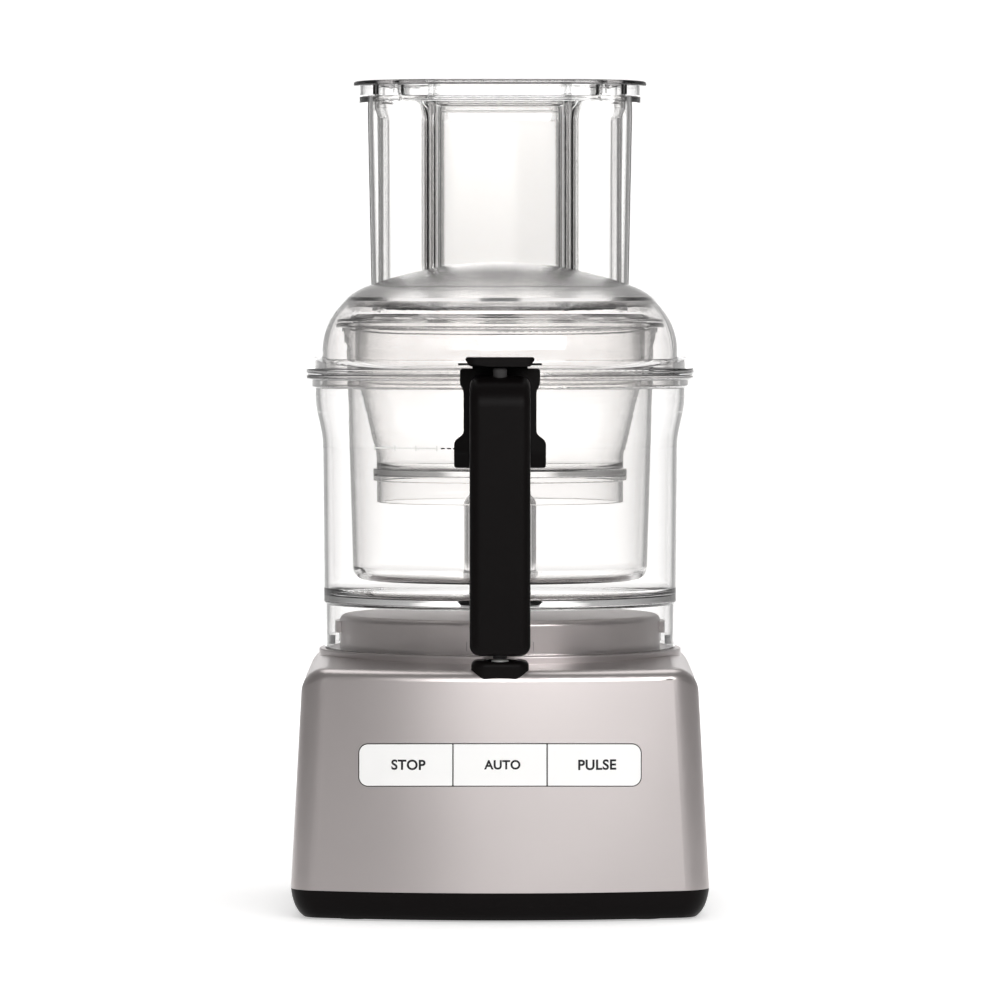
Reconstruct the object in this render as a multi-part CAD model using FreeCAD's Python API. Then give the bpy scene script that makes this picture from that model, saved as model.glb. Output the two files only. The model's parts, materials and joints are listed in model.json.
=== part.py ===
import FreeCAD, Part
import math
import os
from FreeCAD import Vector

# Food processor: a motor base that carries a clear main bowl, with a midi bowl and a mini bowl nested in it,
# a domed lid with a wide kidney-shaped feed tube, and two pushers. Millimetres, +Z up, the front faces -Y.
# The origin is the middle of the footprint, on the surface that the feet stand on.

# ---- driving dimensions ----------------------------------------------------------------------------------
AXIS_Y = 20.0  # the motor's axis stands behind the middle of the base

BASE_FRONT = -130.0  # front of the casing where it meets the plinth, on the centre line
BASE_BACK = 127.4
BASE_HALF = 105.0
SEAM_Z = 15.2  # casing above, plinth below
FRONT_LEAN = 0.0787  # run over rise of the front, side and back faces
SIDE_LEAN = 0.0524
BACK_LEAN = 0.05
FRONT_BOW = 300.0  # plan radius of the gently curved front
BACK_BOW = 220.0
FRONT_CORNER = 18.0
BACK_CORNER = 68.0
WALL = 2.8  # casing wall
TOP_FRONT_Z = 125.3  # height of the sloping top at its front edge
TOP_SLOPE = 0.0185  # so shallow that the whole top stays below the bowl's seat
FRONT_EDGE_ROUND = 6.0
SIDE_EDGE_ROUND = 13.0

SEAT_R, SEAT_Z = 94.0, 130.0  # ring that the bowl's skirt stands on
PEDESTAL_R, PEDESTAL_Z = 83.2, 147.5
PEDESTAL_HOLE_R = 9.7
FOOT_Z = 1.0  # how far the plinth stands off the surface

PANEL_HALF, PANEL_HEIGHT, PANEL_Z = 70.3, 20.8, 78.8
PANEL_CORNER = 4.5
BUTTON_GAP = 0.5

BOWL_R = 92.0
RIM_R, RIM_Z = 100.9, 272.0
SKIRT_BOTTOM_Z = 130.3
BOWL_FLOOR_Z = 157.5
MIDI_FLOOR_Z = 167.6
MINI_FLOOR_Z = 222.5
LIP_R = 85.3  # midi bowl's lip

LID_R = 92.6
LID_FLANGE_Z = 275.0
LID_WALL = 2.4
CROWN_R, CROWN_Z = 195.0, 330.2
SHOULDER_R = 36.0

TUBE_WALL = 2.4
TUBE_BOTTOM_Z, TUBE_NECK_Z, TUBE_TOP_Z = 306.0, 405.3, 417.0
PUSHER_GAP = 1.1
PUSHER_BOTTOM_Z = 311.0
PUSHER_FLANGE_Z = 425.0
WELL_HALF_X, WELL_FRONT, WELL_BACK, WELL_CORNER = 36.0, 58.0, 87.5, 5.0

SHAFT_R, JOURNAL_R = 4.75, 7.5
SHAFT_TOP_Z = 268.0

HANDLE_HALF = 15.15
HANDLE_FRONT, HANDLE_BACK = -126.0, -99.5
HANDLE_BOTTOM_Z, HANDLE_TOP_Z = 132.8, 272.0
BRACKET_R = 104.0
ROD_Y, ROD_R = -112.0, 3.5

UP = Vector(0, 0, 1)
AXIS = Vector(0, AXIS_Y, 0)


# ---- outlines --------------------------------------------------------------------------------------------
def corner_arc(before, corner, after, radius):
    """Start, middle and end of the arc that rounds a corner of a polyline."""
    px, py = corner
    ax, ay = before[0] - px, before[1] - py
    bx, by = after[0] - px, after[1] - py
    la, lb = math.hypot(ax, ay), math.hypot(bx, by)
    ax, ay, bx, by = ax / la, ay / la, bx / lb, by / lb
    half = math.acos(max(-1.0, min(1.0, ax * bx + ay * by))) / 2
    run = radius / math.tan(half)
    sx, sy = ax + bx, ay + by
    ls = math.hypot(sx, sy)
    sx, sy = sx / ls, sy / ls
    reach = radius / math.sin(half)
    start = (px + ax * run, py + ay * run)
    middle = (px + sx * (reach - radius), py + sy * (reach - radius))
    end = (px + bx * run, py + by * run)
    return start, middle, end


def chain(points, place):
    """Edges of an open polyline of (u, v, corner radius). place turns (u, v) into a vector."""
    edges = []
    here = points[0][:2]
    for before, point, after in zip(points, points[1:], points[2:]):
        if point[2] > 0:
            start, middle, end = corner_arc(before, point[:2], after, point[2])
        else:
            start = middle = end = point[:2]
        if math.dist(here, start) > 1e-6:
            edges.append(Part.makeLine(place(*here), place(*start)))
        if point[2] > 0:
            edges.append(Part.Arc(place(*start), place(*middle), place(*end)).toShape())
        here = end
    last = points[-1][:2]
    if math.dist(here, last) > 1e-6:
        edges.append(Part.makeLine(place(*here), place(*last)))
    return edges


def loop(points, place):
    """Closed wire through (u, v, corner radius), starting half way along the first side."""
    first, second = points[0], points[1]
    middle = ((first[0] + second[0]) / 2, (first[1] + second[1]) / 2, 0)
    around = [middle, *points[1:], first, middle]
    return Part.Wire(chain(around, place))


def lathe(points):
    """Solid of revolution about the motor's axis from a closed profile of (radius, z, corner radius)."""
    face = Part.Face(loop(points, lambda r, z: Vector(r, AXIS_Y, z)))
    return face.revolve(AXIS, UP, 360)


def ring(outer, inner, low, high):
    """Plain ring about the motor's axis."""
    whole = Part.makeCylinder(outer, high - low, Vector(0, AXIS_Y, low), UP)
    if inner <= 0:
        return whole
    return whole.cut(Part.makeCylinder(inner, high - low, Vector(0, AXIS_Y, low), UP))


def column(points, low, high):
    """Upright prism from a closed plan outline of (x, y, corner radius)."""
    face = Part.Face(loop(points, lambda x, y: Vector(x, y, low)))
    return face.extrude(Vector(0, 0, high - low))


def box(x, y, z):
    """Box from three (low, high) pairs."""
    size = [high - low for low, high in (x, y, z)]
    return Part.makeBox(*size, Vector(x[0], y[0], z[0]))


def rod(radius, low, high, x, y):
    return Part.makeCylinder(radius, high - low, Vector(x, y, low), UP)


def rounded_rectangle(x, y, radius):
    return [(x[0], y[0], radius), (x[1], y[0], radius), (x[1], y[1], radius), (x[0], y[1], radius)]


def arc_between(first, middle, last):
    return Part.Arc(Vector(*first), Vector(*middle), Vector(*last)).toShape()


def inside_corner(circle_r, circle_y, side, radius, way):
    """Centre of the arc that touches a circle centred on x = 0 from inside and the line x = side."""
    across = side - radius
    along = math.sqrt((circle_r - radius) ** 2 - across**2)
    return across, circle_y + way * along


def bowed_end(circle_r, circle_y, side, radius, way, z):
    """Edges of a bowed end of an outline, from (side, ...) round to (-side, ...)."""
    cx, cy = inside_corner(circle_r, circle_y, side, radius, way)
    stretch = circle_r / (circle_r - radius)
    tx, ty = cx * stretch, circle_y + (cy - circle_y) * stretch
    turn = math.atan2(ty - cy, tx - cx) / 2
    mx, my = cx + radius * math.cos(turn), cy + radius * math.sin(turn)
    tip = circle_y + way * circle_r
    edges = [
        arc_between((side, cy, z), (mx, my, z), (tx, ty, z)),
        arc_between((tx, ty, z), (0, tip, z), (-tx, ty, z)),
        arc_between((-tx, ty, z), (-mx, my, z), (-side, cy, z)),
    ]
    return edges, cy


# ---- motor casing and plinth -----------------------------------------------------------------------------
def base_outline(z, inset=0.0):
    """Plan outline of the base at a height. The faces lean in as they rise above the seam."""
    rise = max(z - SEAM_Z, 0.0)
    half = BASE_HALF - SIDE_LEAN * rise - inset
    front = BASE_FRONT + FRONT_LEAN * rise + inset
    back = BASE_BACK - BACK_LEAN * rise - inset
    front_r, back_r = FRONT_BOW - inset, BACK_BOW - inset
    front_edges, front_y = bowed_end(front_r, front + front_r, half, FRONT_CORNER - inset, -1, z)
    back_edges, back_y = bowed_end(back_r, back - back_r, half, BACK_CORNER - inset, 1, z)
    left = Part.makeLine(Vector(-half, back_y, z), Vector(-half, front_y, z))
    right = Part.makeLine(Vector(half, front_y, z), Vector(half, back_y, z))
    return Part.Wire(Part.__sortEdges__([right, *back_edges, left, *reversed(front_edges)]))


def casing_block(grow=0.0, low=SEAM_Z, high=145.0):
    """The casing's outer shape as a plain leaning block with no top, larger all round by grow."""
    return Part.makeLoft([base_outline(low, -grow), base_outline(high, -grow)], True, True)


def slope_z(y):
    """Height of the sloping top at a depth."""
    top_front = BASE_FRONT + FRONT_LEAN * (TOP_FRONT_Z - SEAM_Z)
    return TOP_FRONT_Z + TOP_SLOPE * (y - top_front)


def under_slope(drop=0.0):
    """Everything below the casing's sloping top."""
    span, depth = 300.0, 200.0
    angle = math.degrees(math.atan(TOP_SLOPE))
    slab = Part.makeBox(span, span, depth, Vector(-span / 2, 0, -depth))
    slab.rotate(Vector(0, 0, 0), Vector(1, 0, 0), angle)
    slab.translate(Vector(0, BASE_FRONT - 10, slope_z(BASE_FRONT - 10) - drop))
    return slab


def round_top(block, inset=0.0):
    """Rounds the top edge of a block whose faces lie inset inside the casing's: tightly along the front and
    fully along the sides and back."""
    front_round, side_round = FRONT_EDGE_ROUND - inset, SIDE_EDGE_ROUND - inset
    doc = FreeCAD.newDocument("casing")
    base = doc.addObject("Part::Feature", "block")
    base.Shape = block
    rounded = doc.addObject("Part::Fillet", "rounded")
    rounded.Base = base
    radii = []
    for index, edge in enumerate(block.Edges, 1):
        ends = [vertex.Point for vertex in edge.Vertexes]
        if any(abs(end.z - slope_z(end.y) + inset) > 0.01 for end in ends):
            continue
        middle = edge.valueAt((edge.FirstParameter + edge.LastParameter) / 2)
        far = max(ends, key=lambda end: end.y)
        if abs(middle.x) < 1 and middle.y < 0:
            radii.append((index, front_round, front_round))
        elif far.y < 0:
            first_is_near = edge.valueAt(edge.FirstParameter).y < edge.valueAt(edge.LastParameter).y
            pair = (front_round, side_round)
            radii.append((index, *(pair if first_is_near else reversed(pair))))
        else:
            radii.append((index, side_round, side_round))
    rounded.Edges = radii
    doc.recompute()
    shape = rounded.Shape.copy()
    FreeCAD.closeDocument("casing")
    return shape


def panel_shape(shape):
    """Moves a shape made in panel terms (x across, y inwards from the front, z up the face) into place."""
    lean = math.degrees(math.atan(FRONT_LEAN))
    moved = shape.copy()
    moved.rotate(Vector(0, 0, 0), Vector(1, 0, 0), -lean)
    moved.translate(Vector(0, BASE_FRONT + FRONT_LEAN * (PANEL_Z - SEAM_Z), PANEL_Z))
    return moved


def panel_prism(x, grow, corners, depth=40.0):
    """Prism through the control panel, from outside the casing inwards. corners are radii, anticlockwise from
    the lower left."""
    low, high = x
    half = PANEL_HEIGHT / 2 + grow
    points = [
        (low - grow, -half, corners[0]),
        (high + grow, -half, corners[1]),
        (high + grow, half, corners[2]),
        (low - grow, half, corners[3]),
    ]
    face = Part.Face(loop(points, lambda u, v: Vector(u, -10, v)))
    return panel_shape(face.extrude(Vector(0, depth, 0)))


POST_X, POST_FRONT, POST_BACK = 86.0, -86.0, 78.0
SCREW_SPOTS = [(sx * POST_X, y) for sx in (-1, 1) for y in (POST_FRONT, POST_BACK)]
GLAND_Z, GLAND_R = 36.0, 8.0
SOCKET_HALF, SOCKET_FRONT, SOCKET_BACK, PAD_Z = 14.4, -121.4, -97.0, 130.2


def bayonet_lugs(inner, outer, low, high):
    """Four lugs round the motor's axis, each a short length of a ring."""
    lug_width = 22.0
    whole = ring(outer, inner, low, high)
    lugs = []
    for quarter in range(4):
        sector = Part.makeCylinder(outer + 5, high - low, Vector(0, AXIS_Y, low), UP, lug_width)
        sector.rotate(AXIS, UP, 90 * quarter - lug_width / 2)
        lugs.append(whole.common(sector))
    return lugs


def interlock_pad():
    """Raised pad right under the grip's lower end, let into the front of the casing's top."""
    plan = rounded_rectangle((-SOCKET_HALF, SOCKET_HALF), (SOCKET_FRONT, SOCKET_BACK), 7.0)
    return column(plan, 119.0, PAD_Z)


def motor_casing():
    block = casing_block().common(under_slope())
    shell = round_top(block)
    hollow = round_top(casing_block(-WALL).common(under_slope(WALL)), WALL)
    mouth = Part.Face(base_outline(SEAM_Z, WALL)).extrude(Vector(0, 0, -1))
    hollow = hollow.fuse(mouth)
    shell = shell.cut(hollow)
    round_r = 3.0
    pedestal = lathe(
        [
            (PEDESTAL_R, SEAT_Z - 12, 0),
            (PEDESTAL_R, PEDESTAL_Z, round_r),
            (PEDESTAL_HOLE_R, PEDESTAL_Z, 0.6),
            (PEDESTAL_HOLE_R, PEDESTAL_Z - 3.0, 0),
            (PEDESTAL_R - WALL, PEDESTAL_Z - 3.0, 1.0),
            (PEDESTAL_R - WALL, SEAT_Z - 12, 0),
        ]
    )
    seat = lathe(
        [
            (SEAT_R, SEAT_Z - 10, 0),
            (SEAT_R, SEAT_Z, 0.8),
            (PEDESTAL_R - WALL, SEAT_Z, 0),
            (PEDESTAL_R - WALL, SEAT_Z - 10, 0),
        ]
    )
    well = ring(PEDESTAL_R - WALL, 0, SEAT_Z - 20, PEDESTAL_Z - 3.0)
    shell = shell.fuse([pedestal, seat.cut(hollow)]).cut(well)
    shell = shell.fuse(bayonet_lugs(PEDESTAL_R - 0.5, PEDESTAL_R + 2.6, 138.2, 144.0))
    posts = []
    for x, y in SCREW_SPOTS:
        rib = box(sorted((x, x * 1.25)), (y - 1.2, y + 1.2), (SEAM_Z, 60.0))
        posts.append(rod(6.0, SEAM_Z, 60.0, x, y).fuse(rib).common(casing_block(-1.0)))
    shell = shell.fuse(posts)
    for x, y in SCREW_SPOTS:
        shell = shell.cut(rod(2.0, SEAM_Z - 1, 40.0, x, y))
    corners = [PANEL_CORNER + 0.4] * 4
    shell = shell.cut(panel_prism((-PANEL_HALF, PANEL_HALF), 0.4, corners, depth=26.0))
    shell = shell.cut(interlock_pad())
    gland_hole = Part.makeCylinder(GLAND_R, 40, Vector(0, BASE_BACK - 30, GLAND_Z), Vector(0, 1, 0))
    return shell.cut(gland_hole).removeSplitter()


def base_plinth():
    """Black tray that closes the base, with a rounded foot, screw bosses and cooling slots."""
    heights = [(SEAM_Z, 0.0), (11.0, 0.7), (6.0, 2.4), (FOOT_Z, 6.6)]
    outer = Part.makeLoft([base_outline(z, inset) for z, inset in heights], True, False)
    inner = [(SEAM_Z + 1, 2.6), (11.0, 3.4), (7.0, 5.2), (4.6, 9.0)]
    tray = outer.cut(Part.makeLoft([base_outline(z, inset) for z, inset in inner], True, False))
    for x, y in SCREW_SPOTS:
        tray = tray.fuse(rod(6.5, FOOT_Z + 1, SEAM_Z - 0.2, x, y))
    for x, y in SCREW_SPOTS:
        tray = tray.cut(rod(4.4, FOOT_Z - 1, 9.0, x, y)).cut(rod(2.3, 8.0, SEAM_Z + 1, x, y))
    slot_pitch, slot_half, slot_r = 9.0, 24.0, 1.8
    for index in range(-3, 4):
        slot = rounded_rectangle(
            (-slot_half, slot_half),
            (AXIS_Y + index * slot_pitch - slot_r, AXIS_Y + index * slot_pitch + slot_r),
            slot_r * 0.98,
        )
        tray = tray.cut(column(slot, FOOT_Z - 1, 6.0))
    for x, y in FOOT_SPOTS:
        tray = tray.cut(rod(FOOT_R, FOOT_Z - 1, FOOT_Z + 0.8, x, y))
    return tray.cut(rating_plate())


FOOT_R = 11.0
FOOT_SPOTS = [(sx * 72.0, y) for sx in (-1, 1) for y in (-96.0, 92.0)]


def rubber_feet():
    feet = []
    for x, y in FOOT_SPOTS:
        foot = rod(FOOT_R, 0.0, FOOT_Z + 0.8, x, y)
        rim = [edge for edge in foot.Edges if abs(edge.BoundBox.ZMax) < 0.01]
        feet.append(foot.makeFillet(0.8, rim))
    return feet


def base_screws():
    screws = []
    for x, y in SCREW_SPOTS:
        head = rod(4.0, 5.4, 8.0, x, y)
        shank = rod(1.95, 8.0, 34.0, x, y)
        slot = box((x - 3.0, x + 3.0), (y - 0.5, y + 0.5), (5.0, 6.4))
        screws.append(head.fuse(shank).cut(slot))
    return screws


def rating_plate():
    plan = rounded_rectangle((-32.0, 32.0), (-88.0, -52.0), 3.0)
    return column(plan, FOOT_Z, FOOT_Z + 0.5)


def cord_gland():
    """Bush in the back wall that the mains cord would pass through."""
    back = Vector(0, 1, 0)
    flange_end, neck_start = 130.0, 114.0
    wall_y = BASE_BACK - BACK_LEAN * (GLAND_Z - SEAM_Z)
    flange = Part.makeCylinder(11.0, flange_end - wall_y, Vector(0, wall_y, GLAND_Z), back)
    rim = [edge for edge in flange.Edges if abs(edge.BoundBox.YMin - flange_end) < 0.01]
    flange = flange.makeFillet(1.2, rim)
    neck = Part.makeCylinder(GLAND_R, wall_y - neck_start, Vector(0, neck_start, GLAND_Z), back)
    nut = Part.makeCylinder(11.0, 3.0, Vector(0, wall_y - WALL - 3.2, GLAND_Z), back)
    bore = Part.makeCylinder(3.7, 30, Vector(0, neck_start - 1, GLAND_Z), back)
    gland = flange.fuse([neck, nut]).cut(bore)
    return gland.cut(casing_wall_at_back()).removeSplitter()


def casing_wall_at_back():
    """The casing's back wall with its hole for the gland."""
    wall = casing_block().cut(casing_block(-WALL, SEAM_Z - 1))
    hole = Part.makeCylinder(GLAND_R, 60, Vector(0, BASE_BACK - 50, GLAND_Z), Vector(0, 1, 0))
    return wall.cut(hole).common(box((-30, 30), (90, 140), (SEAM_Z, 70)))


# ---- controls --------------------------------------------------------------------------------------------
PANEL_THIRD = 2 * PANEL_HALF / 3
BUTTONS = ["stop_button", "auto_button", "pulse_button"]
BOARD_DEPTH = 19.0


def push_button(index):
    """One third of the panel: a curved cap flush with the front, with a stem behind it."""
    low = -PANEL_HALF + index * PANEL_THIRD + (BUTTON_GAP / 2 if index > 0 else 0)
    high = -PANEL_HALF + (index + 1) * PANEL_THIRD - (BUTTON_GAP / 2 if index < 2 else 0)
    left, right = (PANEL_CORNER if index == 0 else 0.4), (PANEL_CORNER if index == 2 else 0.4)
    proud, thickness = 0.5, 4.0
    prism = panel_prism((low, high), -0.05, [left, right, right, left], depth=44.0)
    cap = prism.common(casing_block(proud)).cut(casing_block(proud - thickness))
    rim = [edge for edge in cap.Edges if all(on_front(vertex.Point, proud) for vertex in edge.Vertexes)]
    try:
        cap = cap.makeFillet(0.35, rim)
    except Part.OCCError:
        print("a button's rim stays sharp:", index)
    middle = (low + high) / 2
    stem = box((middle - 5, middle + 5), (-8.0, 14.0), (-3.5, 3.5))
    stem = panel_shape(stem).common(casing_block(proud - thickness + 0.5))
    return cap.fuse(stem).removeSplitter()


def on_front(point, proud):
    """True if a point lies on the casing's front surface, pushed out by proud."""
    rise = point.z - SEAM_Z
    centre_y = BASE_FRONT + FRONT_LEAN * rise + FRONT_BOW
    return abs(math.hypot(point.x, point.y - centre_y) - FRONT_BOW - proud) < 0.06


def button_frame():
    """Dark tray behind the front wall that guides the three buttons."""
    grow = 4.0
    corners = [6.0] * 4
    outer = panel_prism((-PANEL_HALF, PANEL_HALF), grow, corners, depth=60.0)
    tray = outer.common(casing_block(-WALL - 0.1)).cut(casing_block(-9.2))
    inner = panel_prism((-PANEL_HALF, PANEL_HALF), 0.8, [5.0] * 4, depth=60.0)
    tray = tray.cut(inner.common(casing_block(2)).cut(casing_block(-6.8)))
    for index in range(3):
        middle = -PANEL_HALF + (index + 0.5) * PANEL_THIRD
        tray = tray.cut(panel_shape(box((middle - 5.6, middle + 5.6), (-10, 40), (-4.1, 4.1))))
    return tray


def switch_board():
    board = box((-60, 60), (BOARD_DEPTH, BOARD_DEPTH + 1.6), (-13, 13))
    return panel_shape(board)


def tact_switches():
    switches = []
    for index in range(3):
        middle = -PANEL_HALF + (index + 0.5) * PANEL_THIRD
        body = box((middle - 4, middle + 4), (BOARD_DEPTH - 2.6, BOARD_DEPTH), (-4, 4))
        key = Part.makeCylinder(1.7, 0.8, Vector(middle, BOARD_DEPTH - 3.4, 0), Vector(0, 1, 0))
        switches.append(panel_shape(body.fuse(key)))
    return switches


# ---- safety interlock ------------------------------------------------------------------------------------
PLUNGER_R = 4.5
PLUNGER_TOP_Z = 130.6


def interlock_socket():
    pad = interlock_pad()
    rim = [edge for edge in pad.Edges if edge.BoundBox.ZMin > PAD_Z - 0.01]
    pad = pad.makeFillet(3.0, rim)
    dish = Part.makeCone(PLUNGER_R + 0.5, 9.0, 2.6, Vector(0, ROD_Y, PAD_Z - 2.5), UP)
    return pad.cut(dish).cut(rod(PLUNGER_R + 0.3, 100, 150, 0, ROD_Y)).removeSplitter()


def interlock_plunger():
    pin = rod(PLUNGER_R, 114.0, PLUNGER_TOP_Z, 0, ROD_Y)
    rim = [edge for edge in pin.Edges if abs(edge.BoundBox.ZMin - PLUNGER_TOP_Z) < 0.01]
    return pin.makeFillet(1.4, rim)


def interlock_switch():
    body = box((-11, 11), (ROD_Y - 5.5, ROD_Y + 7.5), (98.0, 109.0))
    lever = box((-9, 6), (ROD_Y - 2.5, ROD_Y + 2.5), (110.6, 111.2))
    hinge = box((-10, -8.5), (ROD_Y - 2.5, ROD_Y + 2.5), (109.0, 111.2))
    return body.fuse([lever, hinge]).removeSplitter()


# ---- motor -----------------------------------------------------------------------------------------------
STACK_LOW, STACK_HIGH = 52.0, 92.0
ROTOR_R, STATOR_BORE_R, STATOR_R = 27.0, 27.6, 50.0
BEARING_R = 11.0
LOWER_BEARING, UPPER_BEARING = (25.0, 33.0), (109.0, 117.0)
BOLT_CIRCLE = 56.5


def around(count, radius, first=0.0):
    """Points spaced evenly about the motor's axis."""
    turns = [math.radians(first + 360.0 * index / count) for index in range(count)]
    return [(radius * math.cos(turn), AXIS_Y + radius * math.sin(turn)) for turn in turns]


def stator_core():
    core = ring(STATOR_R, STATOR_BORE_R, STACK_LOW, STACK_HIGH)
    for x, y in around(12, 31.5):
        core = core.cut(rod(2.2, STACK_LOW, STACK_HIGH, x, y))
    return core


def stator_windings():
    rings = []
    for low in (STACK_LOW - 12.5, STACK_HIGH + 0.5):
        rings.append(lathe([(31, low, 4), (47, low, 4), (47, low + 12, 4), (31, low + 12, 4)]))
    return rings


def end_shield(disc_low, rim_low, rim_high, housing, bolts):
    """Disc with a rim that meets the stator and a housing for the bearing."""
    disc = ring(61.0, JOURNAL_R + 1.5, disc_low, disc_low + 4)
    rim = ring(53.0, 50.2, rim_low, rim_high)
    boss = ring(BEARING_R + 4, JOURNAL_R + 1.5, housing[0] - 1, housing[1] + 1)
    seat = ring(BEARING_R, 0, *housing)
    shield = disc.fuse([rim, boss]).cut(seat)
    for x, y in around(8, 22.0, 22.5):
        shield = shield.cut(rod(3.2, disc_low - 1, disc_low + 5, x, y))
    for x, y in bolts:
        shield = shield.cut(rod(2.1, disc_low - 1, disc_low + 5, x, y))
    return shield


def lower_end_shield():
    return end_shield(30.0, 30.0, STACK_LOW + 6, LOWER_BEARING, around(4, BOLT_CIRCLE, 45))


def upper_end_shield():
    return end_shield(108.0, STACK_HIGH - 6, 112.0, UPPER_BEARING, around(4, BOLT_CIRCLE, 45))


def bearing(span):
    """Ball bearing drawn as one ring with a groove in each face."""
    whole = ring(BEARING_R, JOURNAL_R + 0.05, *span)
    groove = ring(BEARING_R - 1.1, JOURNAL_R + 1.1, span[0] - 1, span[0] + 0.6)
    return whole.cut(groove).cut(groove.translated(Vector(0, 0, span[1] - span[0] + 0.4)))


def motor_bolts():
    bolts = []
    for x, y in around(4, BOLT_CIRCLE, 45):
        bolts.append(rod(2.0, 28.0, 112.0, x, y).fuse(rod(3.6, 112.0, 115.0, x, y)).removeSplitter())
    return bolts


def motor_grommets():
    mounts = []
    for x, y in around(4, BOLT_CIRCLE, 0):
        mounts.append(rod(4.2, 4.6, 30.0, x, y).fuse(rod(6.5, 14.0, 22.0, x, y)).removeSplitter())
    return mounts


def rotor_core():
    core = ring(ROTOR_R, JOURNAL_R, STACK_LOW, STACK_HIGH)
    end_rings = [ring(ROTOR_R - 2, ROTOR_R - 9, low, low + 5) for low in (STACK_LOW - 5, STACK_HIGH)]
    return core.fuse(end_rings).removeSplitter()


def motor_shaft():
    """Journal through the motor, then a slim spindle with two drive flats near its top."""
    shaft = lathe(
        [
            (0, 8.0, 0),
            (JOURNAL_R, 8.0, 0.8),
            (JOURNAL_R, 151.0, 0.5),
            (SHAFT_R, 155.0, 0.5),
            (SHAFT_R, SHAFT_TOP_Z, 1.5),
            (0, SHAFT_TOP_Z, 0),
        ]
    )
    flat = 3.9
    for side in (-1, 1):
        x = sorted((side * flat, side * 10))
        shaft = shaft.cut(box(x, (AXIS_Y - 10, AXIS_Y + 10), (SHAFT_TOP_Z - 10, SHAFT_TOP_Z + 1)))
    return shaft


def cooling_fan():
    hub = ring(12.0, JOURNAL_R, 10.0, 21.0)
    plate = ring(46.0, JOURNAL_R, 19.4, 21.0)
    blades = []
    for index in range(12):
        blade = box((11.0, 45.0), (AXIS_Y - 0.8, AXIS_Y + 0.8), (10.0, 20.0))
        blade.rotate(AXIS, UP, 30.0 * index)
        blades.append(blade)
    return hub.fuse([plate, *blades]).removeSplitter()


def run_capacitor():
    can = rod(15.0, 8.0, 64.0, -62.0, -68.0)
    return can.makeFillet(1.5, [edge for edge in can.Edges if len(edge.Vertexes) == 1])


def shaft_seal():
    low, high = PEDESTAL_Z - 4.0, PEDESTAL_Z + 1.6
    return lathe(
        [
            (JOURNAL_R + 0.1, low, 0.3),
            (PEDESTAL_HOLE_R - 0.1, low, 0.3),
            (PEDESTAL_HOLE_R - 0.1, high, 1.0),
            (JOURNAL_R + 0.1, high, 0.3),
        ]
    )


# ---- bowls -----------------------------------------------------------------------------------------------
def main_bowl():
    wall_in = BOWL_R - 2.4
    bowl = lathe(
        [
            (wall_in - 0.8, SKIRT_BOTTOM_Z, 0.5),
            (BOWL_R - 1, SKIRT_BOTTOM_Z, 0.5),
            (BOWL_R - 1, 153.0, 0.5),
            (BOWL_R, 154.2, 0.5),
            (BOWL_R + 0.6, 238.0, 40),
            (BOWL_R + 4.4, 256.0, 40),
            (BOWL_R + 4.4, 265.2, 0.5),
            (98.3, 265.2, 1.0),
            (98.3, RIM_Z - 2.6, 0.5),
            (RIM_R, RIM_Z - 2.6, 1.0),
            (RIM_R, RIM_Z, 1.0),
            (BOWL_R + 1.8, RIM_Z, 0.8),
            (BOWL_R + 1.8, 257.0, 40),
            (wall_in + 0.6, 239.0, 40),
            (wall_in, BOWL_FLOOR_Z, 4.0),
            (16.2, BOWL_FLOOR_Z, 0.6),
            (15.8, 200.0, 6),
            (7.4, 212.0, 6),
            (7.4, 246.0, 0.7),
            (5.6, 246.0, 0.7),
            (5.6, 211.0, 4),
            (13.6, 199.5, 6),
            (14.0, BOWL_FLOOR_Z - 2.8, 1.5),
            (wall_in - 0.8, BOWL_FLOOR_Z - 2.8, 1.5),
        ]
    )
    lugs = bayonet_lugs(PEDESTAL_R + 3.0, wall_in - 0.4, 132.4, 137.0)
    return bowl.fuse(lugs).removeSplitter()


def midi_bowl():
    floor_under = MIDI_FLOOR_Z - 2.4
    return lathe(
        [
            (16.6, floor_under, 0.6),
            (76.6, floor_under, 7),
            (80.0, 286.0, 15),
            (82.0, 296.0, 0.5),
            (LIP_R, 296.0, 0.8),
            (LIP_R, 298.3, 0.8),
            (79.8, 298.3, 0.8),
            (77.8, 286.0, 15),
            (74.4, MIDI_FLOOR_Z, 5),
            (19.0, MIDI_FLOOR_Z, 2.5),
            (19.0, 206.0, 6),
            (9.7, 217.0, 5),
            (9.7, 251.0, 0.7),
            (7.9, 251.0, 0.7),
            (7.9, 216.0, 4),
            (16.6, 205.0, 5),
        ]
    )


def mini_bowl():
    floor_under = MINI_FLOOR_Z - 2.4
    return lathe(
        [
            (62.2, 205.5, 0.5),
            (64.2, 205.5, 0.5),
            (64.2, 216.8, 0.3),
            (66.0, 216.8, 0.5),
            (66.0, 223.2, 0.5),
            (64.3, 223.2, 0.5),
            (64.3, 230.0, 12),
            (75.3, 275.0, 30),
            (75.3, 299.6, 1.5),
            (84.9, 298.7, 0.4),
            (84.9, 299.9, 0.4),
            (76.5, 302.8, 2),
            (73.2, 302.8, 0.8),
            (73.2, 275.6, 30),
            (62.2, 230.6, 12),
            (62.2, MINI_FLOOR_Z, 4),
            (12.2, MINI_FLOOR_Z, 0.8),
            (12.2, 256.0, 0.7),
            (10.2, 256.0, 0.7),
            (10.2, floor_under, 0.6),
            (62.2, floor_under, 1.0),
        ]
    )


# ---- blade -----------------------------------------------------------------------------------------------
HUB_R = 15.2
WING_LEVELS = [(226.0, 1), (240.0, -1)]
WING_TIP = 56.0


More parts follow.
